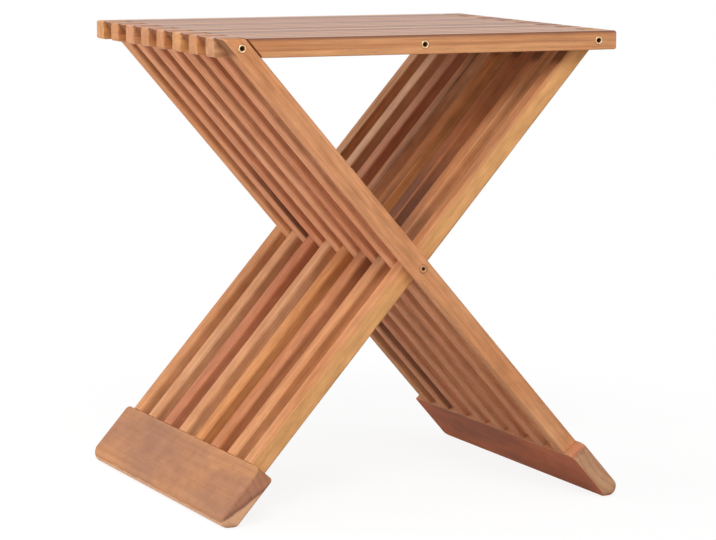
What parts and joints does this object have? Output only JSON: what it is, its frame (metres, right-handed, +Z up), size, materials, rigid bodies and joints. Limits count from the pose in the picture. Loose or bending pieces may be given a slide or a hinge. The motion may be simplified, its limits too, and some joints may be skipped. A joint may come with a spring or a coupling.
{
  "type": "folding stool",
  "caption": "Slatted teak stool with crossed leg frames on foot boards, whose two seat halves interleave and fold up on brass rods as the legs close.",
  "frame": {"origin": "on the floor under the middle of the seat", "axes": "+Z up, +X along the seat slats, +Y along the foot boards and rods, away from the viewer of the picture"},
  "size_m": [0.408, 0.364, 0.45],
  "materials": {
    "teak_legs": "planed teak, lightly oiled, satin",
    "teak_seat": "planed teak, lightly oiled, satin",
    "teak_feet": "planed teak, lightly oiled, satin",
    "brass_rods": "drawn tube, plain ends"
  },
  "bodies": {
    "leg_frame_a": {"leg_a_slat_1": "teak_legs", "leg_a_slat_2": "teak_legs", "leg_a_slat_3": "teak_legs", "leg_a_slat_4": "teak_legs", "leg_a_slat_5": "teak_legs", "leg_a_slat_6": "teak_legs", "leg_a_slat_7": "teak_legs", "leg_a_slat_8": "teak_legs", "foot_board_a": "teak_feet", "cross_rod": "brass_rods", "seat_rod_a": "brass_rods"},
    "leg_frame_b": {"leg_b_slat_1": "teak_legs", "leg_b_slat_2": "teak_legs", "leg_b_slat_3": "teak_legs", "leg_b_slat_4": "teak_legs", "leg_b_slat_5": "teak_legs", "leg_b_slat_6": "teak_legs", "leg_b_slat_7": "teak_legs", "leg_b_slat_8": "teak_legs", "foot_board_b": "teak_feet", "seat_rod_b": "brass_rods"},
    "seat_half_a": {"seat_a_slat_1": "teak_seat", "seat_a_slat_2": "teak_seat", "seat_a_slat_3": "teak_seat", "seat_a_slat_4": "teak_seat", "seat_a_slat_5": "teak_seat", "seat_a_slat_6": "teak_seat", "seat_a_slat_7": "teak_seat", "seat_a_slat_8": "teak_seat", "middle_rod_a_section_1": "brass_rods", "middle_rod_a_section_2": "brass_rods", "middle_rod_a_section_3": "brass_rods", "middle_rod_a_section_4": "brass_rods", "middle_rod_a_section_5": "brass_rods", "middle_rod_a_section_6": "brass_rods", "middle_rod_a_section_7": "brass_rods", "middle_rod_a_section_8": "brass_rods"},
    "seat_half_b": {"seat_b_slat_1": "teak_seat", "seat_b_slat_2": "teak_seat", "seat_b_slat_3": "teak_seat", "seat_b_slat_4": "teak_seat", "seat_b_slat_5": "teak_seat", "seat_b_slat_6": "teak_seat", "seat_b_slat_7": "teak_seat", "seat_b_slat_8": "teak_seat", "middle_rod_b_section_1": "brass_rods", "middle_rod_b_section_2": "brass_rods", "middle_rod_b_section_3": "brass_rods", "middle_rod_b_section_4": "brass_rods", "middle_rod_b_section_5": "brass_rods", "middle_rod_b_section_6": "brass_rods", "middle_rod_b_section_7": "brass_rods", "middle_rod_b_section_8": "brass_rods"}
  },
  "joints": [
    {"name": "leg_fold", "type": "hinge", "parent": "leg_frame_a", "child": "leg_frame_b", "pos_m": [0, 0, 0.231], "axis": [0, -1, 0], "range_deg": [0, 77]},
    {"name": "seat_a_fold", "type": "hinge", "parent": "leg_frame_a", "child": "seat_half_a", "pos_m": [-0.1835, 0, 0.441], "axis": [0, -1, 0], "range_deg": [0, 124.47]},
    {"name": "seat_b_fold", "type": "hinge", "parent": "leg_frame_b", "child": "seat_half_b", "pos_m": [0.1835, 0, 0.441], "axis": [0, 1, 0], "range_deg": [0, 124.47]}
  ],
  "couplings": [
    {"joint": "seat_a_fold", "follows": "leg_fold", "ratio": 1.6166},
    {"joint": "seat_b_fold", "follows": "leg_fold", "ratio": 1.6166}
  ]
}
